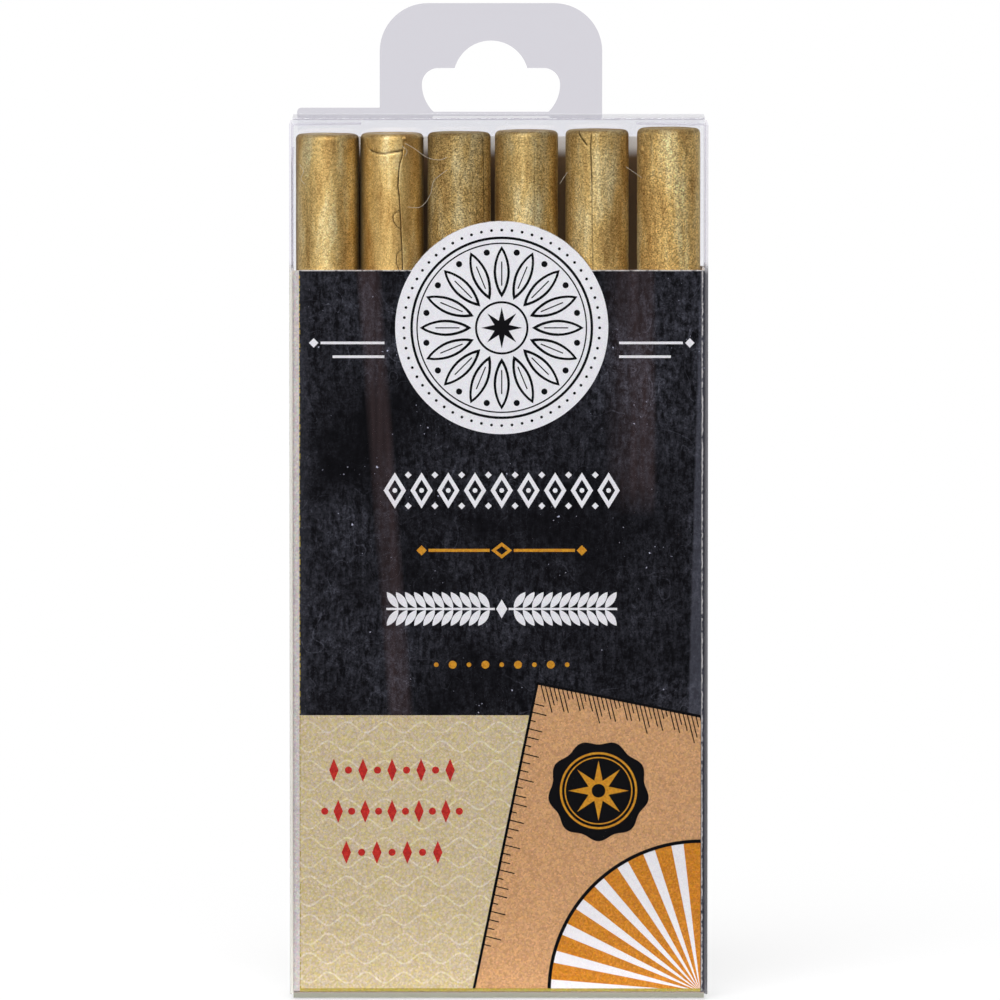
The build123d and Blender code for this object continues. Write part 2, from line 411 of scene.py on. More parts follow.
def wax_stick(settings, name):
    """One cast stick: softened ends, a skin that swells a little, drawn ridges, cracks and beads."""
    low, high = (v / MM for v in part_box(name))
    middle_x = (low.x + high.x) / 2
    middle_y = (low.y + high.y) / 2
    radius = (high.x - low.x) / 2 - 0.015
    length = high.z - low.z
    seed = STICKS.index(name) * 17.3
    skin = SKINS[name]
    lump = settings.lump / MM
    angles = stick_columns(radius, CRACKS.get(name, []))
    rows = stick_profile(radius, length, END_RADIUS)
    across = np.broadcast_to(angles * radius, (len(rows), len(angles)))
    down = np.broadcast_to(rows[:, 1:2], across.shape)
    ring = np.broadcast_to(rows[:, 0:1], across.shape)
    sink, dark = skin_marks(name, across, down)
    # The cut end is darker, partly its own duller wax and partly painted shade that dims the glint on its
    # rounded edge, with a painted dark line round the rear of its rim.
    rear = 0.5 - 0.5 * np.cos(angles)
    rim = np.clip((ring - radius + 0.7) / 0.2, 0, 1) * rear**2
    dark = np.maximum(dark, (0.4 + 0.45 * rim) * fade(down, 0.52, 0.1))
    # Painted shade darkens each side where a neighbouring stick or the wall stands close.
    beside_shade = np.exp(-(((np.abs(angles) - 1.4) / 0.38) ** 2))
    dark = np.maximum(dark, np.where(angles < 0, skin.left, skin.right) * beside_shade)
    corners = []
    for i, j in np.ndindex(across.shape):
        side, front = math.sin(angles[j]), math.cos(angles[j])
        spot = Vector((side * radius, -front * radius, down[i, j]))
        swell = swelling(spot, seed, lump, skin.ridges)
        # The skin is only uneven towards the rim, and the cut end is a little hollow.
        uneven = min(1.0, ring[i, j] / (radius - 0.7)) ** 4
        out = ring[i, j] + (min(swell, 0.0) - lump * 0.4 - sink[i, j]) * uneven
        hollow = 0.0
        if ring[i, j] < radius:
            hollow = abs(0.06 * noise.noise(Vector((spot.x * 0.3, spot.y * 0.3, seed))))
        end = down[i, j] + (hollow if down[i, j] < length / 2 else -hollow)
        corners.append(((middle_x + side * out) * MM, (middle_y - front * out) * MM, (high.z - end) * MM))
    corners += [(middle_x * MM, middle_y * MM, z * MM) for z in (high.z, low.z)]
    material = wax_material(settings, f"gold_mica_wax_{name[-1]}", skin)
    stick = piece(f"{name}_cast", corners, closed_grid(len(rows), len(angles)), name, material)
    shade = stick.data.attributes.new("crack_and_shade", "FLOAT", "POINT")
    shade.data.foreach_set("value", list(dark.reshape(-1)) + [0.0, 0.0])
    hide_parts(name)


class PACK_OT_wax_sticks(bpy.types.Operator):
    """Casts the six gold sticks"""

    bl_idname = "pack.wax_sticks"
    bl_label = "Wax sticks"

    def execute(self, context):
        for name in STICKS:
            wax_stick(context.scene.pack_wax, name)
        return {"FINISHED"}


# Bands where the bowed front panel lies on the card and has rubbed dull, in millimetres: where the band's
# middle is at the foot, how far it leans to the right for each millimetre up, half its width, where it ends
# below, and the length over which its left edge fades in.
BANDS = [(-9.0, -0.072, 1.3, 30.0, 0.8), (15.6, -0.006, 2.9, 58.0, 4.0)]
# How dull the sheet is outside the bands beside inside them, and how much of the bottom fold, whitened and
# with a painted highlight, is dull.
CLEAR_SHARE, STRAIN_AND_HIGHLIGHT_SHARE = 0.03, 0.85


def bowed_band(tree, axes, middle, lean, half, foot, soft):
    """One inside a rubbed band of the sheet, which ends at the card's top, and nothing outside it."""
    leant = add(tree, "Math", {0: axes["Z"], 1: lean, 2: middle * MM}, operation="MULTIPLY_ADD")
    off = add(tree, "Math", {0: axes["X"], 1: leant}, operation="SUBTRACT")
    top = CARD_TOP / MM
    share = 1.0
    for value, outside, inside in (
        (off, -half - 0.3, -half - 0.3 + soft),
        (off, half + 0.3, half - 0.5),
        (axes["Z"], foot - 2, foot + 2),
        (axes["Z"], top + 0.3, top - 0.3),
    ):
        limits = {"Value": value, "From Min": outside * MM, "From Max": inside * MM}
        edge = add(tree, "MapRange", limits)
        share = add(tree, "Math", {0: edge, 1: share}, operation="MULTIPLY")
    return share


def sheet_material(name, tint, shine, haze, rubbed_colour, fold_colour=None):
    """Clear calendered PVC: see-through, a mirror where looked along, dull in bands, whitened and painted
    with a highlight at its foot.
    """
    material, tree = new_material(name)
    place = add(tree, "TexCoord").outputs["Object"]
    facing = add(tree, "LayerWeight", {"Blend": 0.5}).outputs["Facing"]
    steep = add(tree, "Math", {0: facing, 1: 5.0}, operation="POWER")
    mirror = add(tree, "Math", {0: steep, 1: 0.96, 2: 0.04}, operation="MULTIPLY_ADD")
    through = add(tree, "BsdfTransparent", {"Color": tint})
    gloss = add(tree, "BsdfAnisotropic", {"Color": (shine, shine, shine, 1), "Roughness": 0.04})
    clear = add(tree, "MixShader", {0: mirror, 1: through, 2: gloss})
    axes = add(tree, "SeparateXYZ", {"Vector": place}).outputs
    upright = add(tree, "Mapping", {"Vector": place, "Scale": (1, 1, 0.04)})
    streaks = add(tree, "TexNoise", {"Vector": upright, "Scale": per_metre(0.8 * MM), "Detail": 2.0})
    rubbing_and_shade = add(tree, "MapRange", {"Value": streaks, "To Min": 0.1 * haze, "To Max": 1.9 * haze})
    banded = CLEAR_SHARE
    for band in BANDS:
        share = bowed_band(tree, axes, *band)
        banded = add(tree, "Math", {0: share, 1: banded}, operation="MAXIMUM")
    scattered = add(tree, "Math", {0: rubbing_and_shade, 1: banded}, operation="MULTIPLY")
    # The foot is paler: partly the whitening of a strained fold, partly a painted highlight along the crease.
    foot = {"Value": axes["Z"], "From Min": 0.72 * MM, "From Max": 0.6 * MM}
    strain_and_highlight = add(tree, "MapRange", foot)
    colour = rubbed_colour
    if fold_colour is not None:
        both = {"Factor": strain_and_highlight, "A": rubbed_colour, "B": fold_colour}
        colour = add(tree, "Mix", both, data_type="RGBA")
    whitened_and_highlit = add(tree, "Math", {0: strain_and_highlight, 1: STRAIN_AND_HIGHLIGHT_SHARE}, operation="MULTIPLY")
    share = add(tree, "Math", {0: scattered, 1: whitened_and_highlit}, operation="MAXIMUM")
    dull = add(tree, "BsdfDiffuse", {"Color": colour})
    sheet = add(tree, "MixShader", {0: share, 1: clear, 2: dull})
    add(tree, "OutputMaterial", {"Surface": sheet})
    return material


def edge_material(name, colour, below, above=None, beside=None):
    """Cut or folded edge of the sheet: light gathers in it, so it takes the colour of what lies beside it.

    The shares say how dull it is below the card's top and above it.
    """
    material, tree = new_material(name)
    shade, thick = colour, below
    if above is not None:
        place = add(tree, "TexCoord").outputs["Object"]
        height = add(tree, "SeparateXYZ", {"Vector": place}).outputs["Z"]
        limits = {"Value": height, "From Min": CARD_TOP + 0.4 * MM, "From Max": CARD_TOP - 0.4 * MM}
        under = add(tree, "MapRange", limits)
        thick = add(tree, "MapRange", {"Value": under, "To Min": above, "To Max": below})
        if beside is not None:
            shade = add(tree, "Mix", {"Factor": under, "A": colour, "B": beside}, data_type="RGBA")
    through = add(tree, "BsdfTransparent", {"Color": colour})
    dull = add(tree, "BsdfDiffuse", {"Color": shade})
    edge = add(tree, "MixShader", {0: thick, 1: through, 2: dull})
    add(tree, "OutputMaterial", {"Surface": edge})
    return material


def sort_faces(node, materials, choose):
    """Gives each face of a CAD node the material that choose picks from its normal and middle."""
    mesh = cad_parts[node].data
    mesh.materials.clear()
    for material in materials:
        mesh.materials.append(material)
    for face in mesh.polygons:
        face.material_index = choose(face.normal, face.center / MM)


class PACK_OT_clear_box(bpy.types.Operator):
    """Gives the clear sheet and its cut edges their finish"""

    bl_idname = "pack.clear_box"
    bl_label = "Clear box"

    def execute(self, context):
        settings = context.scene.pack_sheet
        seen = (settings.bands, settings.strain_and_highlight)
        front = sheet_material("clear_pvc_front", settings.panel, 1.0, settings.haze, *seen)
        panel = sheet_material("clear_pvc_sheet", settings.panel, 1.0, 0.004, *seen)
        closure = sheet_material("clear_pvc_tab_and_lid", settings.closure, 0.82, 0.004, settings.bands)
        # The underside has rubbed on shelves, so the bottom closure is cloudy and takes the board's colour.
        base = sheet_material("clear_pvc_bottom", settings.beside_board, 0.9, 0.5, settings.beside_board)
        edge = edge_material("clear_pvc_cut_edge", settings.edge, 0.3, 0.15)
        # The bottom fold's edge takes the same colour: whitening and a painted highlight.
        fold = edge_material("clear_pvc_bottom_fold", settings.strain_and_highlight, 0.7)
        rims = {
            "left": edge_material("clear_pvc_left_fold", settings.edge, 0.55, 0.04, settings.beside_board),
            "right": edge_material("clear_pvc_right_fold", settings.edge, 0.75, 0.15, settings.beside_print),
        }
        faces = {"front_panel": front, "hang_tab": closure, "top_lid": closure}

        def of_side_panel(normal, middle):
            return 1 if abs(normal.z) > 0.6 else 2 if abs(normal.y) > 0.3 else 0

        for node in PANELS + ["hang_tab"] + FLAPS:
            low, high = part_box(node)
            thin = min(range(3), key=lambda axis: high[axis] - low[axis])
            face = base if "bottom" in node else faces.get(node, panel)
            if "side_panel" in node:
                sort_faces(node, [face, edge, rims[node.split("_")[0]]], of_side_panel)
            else:
                side = fold if "bottom" in node else edge
                sort_faces(node, [face, side], lambda normal, middle, t=thin: int(abs(normal[t]) < 0.6))
        low, high = (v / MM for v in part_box("back_panel"))
        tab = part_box("hang_tab")[0].x / MM
        # The cut shoulder left of the tab stands proud of the lid.
        start, top, turn = low.x + 0.4, high.z + settings.shoulder / MM, 0.5
        outline = [(tab, top), (tab, high.z), (start, high.z)]
        for angle in np.linspace(0, math.pi / 2, 7):
            outline.append((start + turn - turn * math.cos(angle), top - turn + turn * math.sin(angle)))
        prism("back_panel_shoulder", [outline], high.y * MM, low.y * MM, "box", closure)
        return {"FINISHED"}


def chalk_share(tree, place, axes):
    """How much chalk lies on the black: clouds of it wiped up and down, and hairline scratches."""
    cloud = add(tree, "TexNoise", {"Vector": place, "Scale": per_metre(13 * MM), "Detail": 4.0})
    clouds = {"Value": cloud, "From Min": 0.4, "From Max": 0.66, "To Min": 0.06, "To Max": 1.25}
    drifts = add(tree, "MapRange", clouds)
    # The right half has been handled more.
    handled = add(tree, "MapRange", {"Value": axes["X"], "From Max": FOLD_X, "To Max": 0.4})
    cloudy = add(tree, "Math", {0: drifts, 1: handled}, operation="ADD")
    # Wiped marks are broken up by the tooth of the paper.
    wiped = add(tree, "Mapping", {"Vector": place, "Scale": (1, 1, 0.3)})
    marks = []
    for way, width in ((wiped, 0.5), (place, 0.8)):
        noisy = {"Vector": way, "Scale": per_metre(width * MM), "Detail": 5.0, "Roughness": 0.75}
        marks.append(add(tree, "TexNoise", noisy))
    weave = add(tree, "Math", {0: marks[0], 1: marks[1]}, operation="ADD")
    wipes = {"Value": weave, "From Min": 0.85, "From Max": 1.4, "To Min": 0.002, "To Max": 0.1}
    chalk = add(tree, "MapRange", wipes)
    tooth = add(tree, "TexVoronoi", {"Vector": place, "Scale": per_metre(0.2 * MM)}).outputs["Color"]
    toothed = add(tree, "MapRange", {"Value": tooth, "To Min": 0.3, "To Max": 1.7})
    rough = add(tree, "Math", {0: chalk, 1: toothed}, operation="MULTIPLY")
    # Scratches follow the lines where a noise passes through its middle value.
    wandering = {"Vector": place, "Scale": per_metre(7 * MM), "Detail": 1.0, "Distortion": 1.5}
    wander = add(tree, "TexNoise", wandering)
    off = add(tree, "Math", {0: wander, 1: 0.5}, operation="SUBTRACT")
    apart = add(tree, "Math", {0: off}, operation="ABSOLUTE")
    line = {"Value": apart, "From Min": 0.006, "From Max": 0.001, "To Max": 0.09}
    hairline = add(tree, "MapRange", line)
    broken = add(tree, "Math", {0: hairline, 1: tooth}, operation="MULTIPLY")
    marked = add(tree, "Math", {0: rough, 1: broken}, operation="ADD")
    return add(tree, "Math", {0: marked, 1: cloudy}, operation="MULTIPLY")


def pale_share(tree, axes, top):
    """How much paler the black is where the board bends to the right fold, and along its rubbed left cut."""
    # The bend catches more light near the foot.
    start = {"Value": axes["Z"], "From Max": top, "To Min": FOLD_X - 2.6 * MM, "To Max": FOLD_X - 0.3 * MM}
    bend = add(tree, "MapRange", start)
    past = add(tree, "Math", {0: axes["X"], 1: bend}, operation="SUBTRACT")
    glow = add(tree, "MapRange", {"Value": past, "From Max": 0.25 * MM, "To Max": 0.075})
    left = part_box("card_front")[0].x
    cut = {"Value": axes["X"], "From Min": left + 1.6 * MM, "From Max": left, "To Max": 0.03}
    scuffed = add(tree, "MapRange", cut)
    return add(tree, "Math", {0: glow, 1: scuffed}, operation="ADD")


def fleck_share(tree, place):
    """White flecks in groups. Real ones are finer than a pixel, so they are drawn 0.3 mm wide."""
    speck = add(tree, "TexNoise", {"Vector": place, "Scale": per_metre(0.42 * MM), "Detail": 1.5})
    group = add(tree, "TexNoise", {"Vector": place, "Scale": per_metre(5 * MM), "Detail": 1.0})
    crowds = {"Value": group, "From Min": 0.35, "From Max": 0.7, "To Min": -0.09, "To Max": 0.07}
    crowd = add(tree, "MapRange", crowds)
    near = add(tree, "Math", {0: speck, 1: crowd}, operation="ADD")
    return add(tree, "MapRange", {"Value": near, "From Min": 0.755, "From Max": 0.8})


def worn_share(tree, place, axes, top):
    """Where the ink is gone: in crumbs along the right fold, and where the knife lifted it at the top cut."""
    patchy = add(tree, "TexNoise", {"Vector": place, "Scale": per_metre(0.55 * MM), "Detail": 5.0})
    straying = {0: patchy, 1: -0.3 * MM, 2: 0.15 * MM - FOLD_X}
    stray = add(tree, "Math", straying, operation="MULTIPLY_ADD")
    off = add(tree, "Math", {0: axes["X"], 1: stray}, operation="ADD")
    apart = add(tree, "Math", {0: off}, operation="ABSOLUTE")
    crumbs = {"Value": apart, "From Min": 0.03 * MM, "From Max": 0.11 * MM, "To Min": 1.0, "To Max": 0.0}
    fold = add(tree, "MapRange", crumbs)
    patch = add(tree, "MapRange", {"Value": patchy, "From Min": 0.32, "From Max": 0.55})
    knife = {"Value": axes["Z"], "From Min": top - 0.16 * MM, "From Max": top - 0.06 * MM}
    cut = add(tree, "MapRange", knife)
    both = add(tree, "Math", {0: fold, 1: cut}, operation="MAXIMUM")
    return add(tree, "Math", {0: both, 1: patch}, operation="MULTIPLY")


def black_print(settings, name, top):
    """Offset black on coated board: even, slightly glossy, chalky, with ink lost at its top cut and fold."""
    material, tree = new_material(name)
    place = add(tree, "TexCoord").outputs["Object"]
    axes = add(tree, "SeparateXYZ", {"Vector": place}).outputs
    chalky = chalk_share(tree, place, axes)
    pale = pale_share(tree, axes, top)
    lifted = add(tree, "Math", {0: chalky, 1: pale}, operation="ADD")
    flecks = fleck_share(tree, place)
    share = add(tree, "Math", {0: lifted, 1: flecks}, operation="ADD", use_clamp=True)
    tones = {"Factor": share, "A": settings.black, "B": settings.chalk}
    colour = add(tree, "Mix", tones, data_type="RGBA")
    worn = worn_share(tree, place, axes, top)
    bared = add(tree, "Mix", {"Factor": worn, "A": colour, "B": settings.core}, data_type="RGBA")
    surface = {"Base Color": bared, "Roughness": 0.55, "Specular IOR Level": 0.05}
    printed = add(tree, "BsdfPrincipled", surface)
    add(tree, "OutputMaterial", {"Surface": printed})
    return material


def paper_material(name, colour, roughness, mottle, size, grain=0.1, dots=(0.1, 0.1, 0.1)):
    """Ink or bare fibre on board: matt, softly uneven, grainy with fibres and the printing screen's dots."""
    material, tree = new_material(name)
    place = add(tree, "TexCoord").outputs["Object"]
    fibres = {"Vector": place, "Scale": per_metre(size * MM), "Detail": 6.0, "Roughness": 0.75}
    fibre = add(tree, "TexNoise", fibres)
    shades = {"From Min": 0.3, "From Max": 0.7, "To Min": 1 - mottle, "To Max": 1 + mottle}
    shade = add(tree, "MapRange", {"Value": fibre, **shades})
    # Fibres and screen dots are finer than a pixel, so they are drawn 0.2 mm wide.
    screen = add(tree, "TexVoronoi", {"Vector": place, "Scale": per_metre(0.2 * MM)}).outputs["Color"]
    speckle = add(tree, "MapRange", {"Value": screen, "To Min": 1 - grain, "To Max": 1 + grain})
    spread = {0: screen, 1: [2 * d for d in dots], 2: [1 - d for d in dots]}
    inked = add(tree, "VectorMath", spread, operation="MULTIPLY_ADD")
    uneven = add(tree, "Math", {0: shade, 1: speckle}, operation="MULTIPLY")
    printed = add(tree, "VectorMath", {0: inked, 1: uneven}, operation="MULTIPLY")
    tones = {"Factor": 1.0, "A": colour, "B": printed}
    colours = add(tree, "Mix", tones, data_type="RGBA", blend_type="MULTIPLY")
    surface = {"Base Color": colours, "Roughness": roughness, "Specular IOR Level": 0.1}
    paper = add(tree, "BsdfPrincipled", surface)
    add(tree, "OutputMaterial", {"Surface": paper})
    return material


def board_behind(settings):
    """Board behind the sticks: white along its top margin, with painted shade below it between the sticks."""
    material, tree = new_material("board_behind_sticks")
    place = add(tree, "TexCoord").outputs["Object"]
    height = add(tree, "SeparateXYZ", {"Vector": place}).outputs["Z"]
    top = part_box("card_back")[1].z
    # Below its top margin the board turns to the dark colour: painted shade, where the sticks shut out the
    # light.
    margin = {"Value": height, "From Min": top - 2.6 * MM, "From Max": top - 1.0 * MM}
    unshaded = add(tree, "MapRange", margin, interpolation_type="SMOOTHSTEP")
    tones = {"Factor": unshaded, "A": settings.rubbing_and_shade, "B": settings.board}
    colour = add(tree, "Mix", tones, data_type="RGBA")
    paper = add(tree, "BsdfPrincipled", {"Base Color": colour, "Roughness": 0.85})
    add(tree, "OutputMaterial", {"Surface": paper})
    return material


class PACK_OT_card(bpy.types.Operator):
    """Gives the folded card its printed outside, bare inside and cut edges"""

    bl_idname = "pack.card"
    bl_label = "Card"

    def execute(self, context):
        settings = context.scene.pack_card
        outside = black_print(settings, "black_printed_board", CARD_TOP)
        inside = paper_material("grey_board_inside", settings.board, 0.85, 0.06, 0.6)
        cut = paper_material("board_cut_edge", settings.core, 0.9, 0.1, 0.3)
        low, high = (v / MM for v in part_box("card_side"))
        within = Vector((low.x - 1, (low.y + high.y) / 2, 0))

        def of_front(normal, middle):
            return 0 if normal.y < -0.6 else 1 if normal.y > 0.6 else 2

        def of_back(normal, middle):
            return of_front(-normal, middle)

        def of_side(normal, middle):
            if abs(normal.z) > 0.6:
                return 2
            outward = Vector((middle.x - within.x, middle.y - within.y, 0))
            return 0 if normal.dot(outward) > 0 else 1

        sort_faces("card_front", [outside, inside, cut], of_front)
        sort_faces("card_side", [outside, inside, cut], of_side)
        behind = black_print(settings, "black_printed_back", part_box("card_back")[1].z)
        sort_faces("card_back", [behind, board_behind(settings), cut], of_back)
        return {"FINISHED"}


def around(x, z, radius, angle):
    """The point at a distance and an angle from a middle."""
    return x + radius * math.cos(angle), z + radius * math.sin(angle)


def circle(x, z, radius, steps=72):
    """A closed round outline."""
    return [around(x, z, radius, math.pi / 2 - math.tau * i / steps) for i in range(steps)]


def ring(x, z, radius, wide, steps=96):
    """A round line."""
    return circle(x, z, radius, steps), circle(x, z, radius - wide, steps)


def scalloped(x, z, radius, depth, count, steps=240):
    """A round outline with shallow waves."""
    outline = []
    for i in range(steps):
        angle = math.tau * i / steps
        r = radius - depth * (0.5 + 0.5 * math.cos(count * angle))
        outline.append(around(x, z, r, math.pi / 2 - angle))
    return outline


def star(x, z, long, short, count):
    """A star with straight rays."""
    turns = [(short if i % 2 else long, math.pi / 2 - math.pi * i / count) for i in range(2 * count)]
    return [around(x, z, radius, angle) for radius, angle in turns]


def diamond(x, z, across, high):
    """A lozenge."""
    return [(x - across / 2, z), (x, z - high / 2), (x + across / 2, z), (x, z + high / 2)]


def bar(x0, x1, z0, z1):
    """A rectangle."""
    return [(x0, z0), (x1, z0), (x1, z1), (x0, z1)]


def leaf(x, z, angle, long, wide, steps=10):
    """A pointed leaf that starts at a point and grows along an angle."""
    side = [(long * i / steps, wide / 2 * math.sin(math.pi * i / steps) ** 0.8) for i in range(steps + 1)]
    outline = side + [(u, -v) for u, v in reversed(side[1:-1])]
    c, s = math.cos(angle), math.sin(angle)
    return [(x + u * c - v * s, z + u * s + v * c) for u, v in outline]


def rosette(x, z, start, long):
    """A ring of sixteen open leaves."""
    leaves = []
    for i in range(16):
        angle = math.tau * i / 16
        inner = leaf(*around(x, z, start + 0.6, angle), angle, long - 1.1, 1.3)
        leaves.append((leaf(*around(x, z, start, angle), angle, long, 1.9), inner))
    return leaves


def link(x, z):
    """One link of a chain: an open lozenge round a dot."""
    return [(diamond(x, z, 2.6, 4.2), diamond(x, z, 1.5, 2.5)), circle(x, z, 0.28, 16)]


def stroke(points, wide):
    """A line of a given width through some points."""
    left, right = [], []
    for i, (x, z) in enumerate(points):
        x0, z0 = points[max(i - 1, 0)]
        x1, z1 = points[min(i + 1, len(points) - 1)]
        length = math.hypot(x1 - x0, z1 - z0)
        nx, nz = -(z1 - z0) / length, (x1 - x0) / length
        left.append((x + nx * wide / 2, z + nz * wide / 2))
        right.append((x - nx * wide / 2, z - nz * wide / 2))
    return left + right[::-1]


def clipped(outline, x0, x1, z0, z1):
    """The part of an outline inside a rectangle."""
    for axis, limit, keep in ((0, x0, 1), (0, x1, -1), (1, z0, 1), (1, z1, -1)):
        kept = []
        for p, q in zip(outline, outline[1:] + outline[:1]):
            inside_p = keep * (p[axis] - limit) >= 0
            inside_q = keep * (q[axis] - limit) >= 0
            if inside_p:
                kept.append(p)
            if inside_p != inside_q:
                t = (limit - p[axis]) / (q[axis] - p[axis])
                kept.append((p[0] + t * (q[0] - p[0]), p[1] + t * (q[1] - p[1])))
        outline = kept
        if not outline:
            break
    return outline


# Fibres in millimetres: points across and above the base.
LINT = [
    [(-10.9, 99.56), (-9.7, 98.86), (-8.3, 97.87), (-6.9, 97.58), (-5.97, 97.9)],
    [(-5.94, 96.45), (-7.37, 95.33), (-7.7, 94.53), (-7.85, 93.74), (-8.49, 92.62), (-9.29, 92.06)]
    + [(-10.56, 92.15)],
    [(-11.2, 99.2), (-10.6, 98.6), (-10.9, 98.0)],
    [(-23.1, 97.1), (-22.6, 96.3), (-22.9, 95.4), (-22.4, 94.7)],
    [(7.06, 94.8), (7.5, 95.5), (8.0, 96.2)],
    [(14.7, 96.8), (15.6, 96.2), (16.6, 95.5)],
]


def smoothed(path, steps=6):
    """Points of a smooth line through the points of a path."""
    line = []
    for i in range(len(path) - 1):
        p0, p1, p2, p3 = (np.array(path[min(max(k, 0), len(path) - 1)]) for k in (i - 1, i, i + 1, i + 2))
        for t in np.arange(0, 1, 1 / steps):
            square = (2 * p0 - 5 * p1 + 4 * p2 - p3) * t**2
            cube = (3 * p1 - p0 - 3 * p2 + p3) * t**3
            line.append(0.5 * (2 * p1 + (p2 - p0) * t + square + cube))
    return line + [np.array(path[-1])]


def tube(path, depth, radius, sides=6):
    """A closed thin tube along a smoothed line; its points and faces."""
    line = smoothed(path)
    last = len(line) - 1
    corners, faces = [], []
    for i, (x, z) in enumerate(line):
        along = line[min(i + 1, last)] - line[max(i - 1, 0)]
        along = along / np.hypot(*along)
        thin = radius * (0.4 if i in (0, last) else 1.0)
        for k in range(sides):
            angle = math.tau * k / sides
            side = thin * math.cos(angle)
            corner = (x - along[1] * side, depth + thin * math.sin(angle), z + along[0] * side)
            corners.append([c * MM for c in corner])
    for i in range(last):
        for k in range(sides):
            j = (k + 1) % sides
            faces.append((i * sides + k, i * sides + j, (i + 1) * sides + j, (i + 1) * sides + k))
    faces.append(tuple(range(sides - 1, -1, -1)))
    faces.append(tuple(range(last * sides, (last + 1) * sides)))
    return corners, faces


def prism(name, shapes, under, over, body, material):
    """Closed slabs between two depths. A shape is an outline in X and Z, or a tuple of one and its holes."""
    corners, faces = [], []
    for shape in shapes:
        loops = shape if isinstance(shape, tuple) else (shape,)
        if len(loops[0]) < 3:
            continue
        start = len(corners)
        outline = [(x * MM, z * MM) for loop in loops for x, z in loop]
        count = len(outline)
        corners += [(x, over, z) for x, z in outline] + [(x, under, z) for x, z in outline]
        for a, b, c in tessellate_polygon([[Vector((x, z, 0)) for x, z in loop] for loop in loops]):
            faces.append((start + a, start + b, start + c))
            faces.append((start + count + c, start + count + b, start + count + a))
        for loop in loops:
            for i in range(len(loop)):
                j = (i + 1) % len(loop)
                faces.append((start + i, start + j, start + count + j, start + count + i))
            start += len(loop)
    slab = piece(name, corners, faces, body, material, smooth=False)
    shell = bmesh.new()
    shell.from_mesh(slab.data)
    bmesh.ops.recalc_face_normals(shell, faces=shell.faces)
    shell.to_mesh(slab.data)
    shell.free()
    return slab


def ink(settings, name, shapes, level, material, face="card_front"):
    """Shapes printed as a closed film on one face of the card; films of a higher level lie on lower ones."""
    low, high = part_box(face)
    height = level * settings.film
    under, over = (low.y, low.y - height) if face == "card_front" else (high.y, high.y + height)
    prism(name, shapes, under, over, "card", material)


class PACK_OT_margin(bpy.types.Operator):
    """Adds the bare strip of board that shows left of the print"""

    bl_idname = "pack.margin"
    bl_label = "Bare margin"

    def execute(self, context):
        settings = context.scene.pack_card
        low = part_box("card_front")[0] / MM
        chance = random.Random(5)
        # The strip is torn a little unevenly along its outer edge.
        heights = np.linspace(low.z + 0.1, CARD_TOP / MM - 0.05, 60)
        outline = [(low.x, z) for z in (heights[0], heights[-1])]
        outline += [(low.x - settings.margin / MM + chance.uniform(0, 0.03), z) for z in heights[::-1]]
        board = paper_material("bare_board_margin", settings.bare, 0.85, 0.05, 0.8)
        under, over = (low.y + 0.25) * MM, (low.y + 0.02) * MM
        prism("card_bare_margin", [outline], under, over, "card", board)
        return {"FINISHED"}


class PACK_OT_lint(bpy.types.Operator):
    """Drops a few fibres of lint behind the front panel"""

    bl_idname = "pack.lint"
    bl_label = "Lint"

    def execute(self, context):
        settings = context.scene.pack_card
        material, tree = new_material("grey_lint_fibre")
        # Fibres are so thin that light passes through them.
        dull = add(tree, "BsdfDiffuse", {"Color": settings.lint})
        through = add(tree, "BsdfTransparent")
        both = add(tree, "MixShader", {0: 0.6, 1: through, 2: dull})
        add(tree, "OutputMaterial", {"Surface": both})
        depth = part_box("front_panel")[1].y / MM + 0.06
        for number, path in enumerate(LINT, 1):
            fibre = tube(path, depth, settings.lint_radius / MM)
            thing = piece(f"lint_{number}", *fibre, "box", material)
        return {"FINISHED"}


# Each ink: its material's name, roughness, mottle, size of the mottle in millimetres, grain, and how far the
# screen dots spread its red, green and blue.
INKS = {
    "white": ("white_ink", 0.5, 0.02, 2.0, 0.03, (0.02, 0.02, 0.02)),
    "black": ("black_line_ink", 0.5, 0.05, 1.0, 0.1, (0.1, 0.1, 0.1)),
    "gold": ("gold_ink", 0.5, 0.08, 0.5, 0.15, (0.05, 0.1, 0.3)),
    "kraft": ("kraft_brown_ink", 0.6, 0.08, 0.5, 0.24, (0.03, 0.04, 0.12)),
    "cream": ("cream_ink", 0.6, 0.07, 0.6, 0.17, (0.04, 0.05, 0.3)),
    "pale": ("pale_cream_ink", 0.6, 0.05, 1.0, 0.14, (0.04, 0.05, 0.3)),
    "orange": ("orange_ink", 0.55, 0.1, 0.5, 0.22, (0.05, 0.1, 0.4)),
    "red": ("red_ink", 0.55, 0.08, 0.6, 0.2, (0.1, 0.2, 0.2)),
    "olive": ("yellow_ink_edge", 0.6, 0.15, 0.4, 0.1, (0.1, 0.1, 0.1)),
}
# Places in the design, in millimetres: the badge's middle and radius, the heights of the chain, the gold
# rule, the garland and the row of dots, one link of the chain, the tops of the cream field, the print and the
# fringe, the length of the rays, and the medallion's middle.
BADGE_X, BADGE_Z, BADGE_RADIUS = 0.35, 78.1, 12.4
CHAIN_Z, RULE_Z, GARLAND_Z, DOTS_Z = 59.2, 52.22, 45.4, 38.9
CHAIN_STEP = 3.1
FIELD_TOP, PRINT_TOP, FRINGE_TOP = 33.0, 84.0, 84.3
RAY_LENGTH = 17.5
MEDAL_X, MEDAL_Z = 11.6, 24.2


def front_edges():
    """The left, right and lower edges of the card's front, in millimetres."""
    low, high = (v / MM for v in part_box("card_front"))
    return low.x, high.x, low.z


def on_front(outline, top=PRINT_TOP):
    """The part of an outline that lies on the card's front."""
    return clipped(outline, *front_edges(), top)


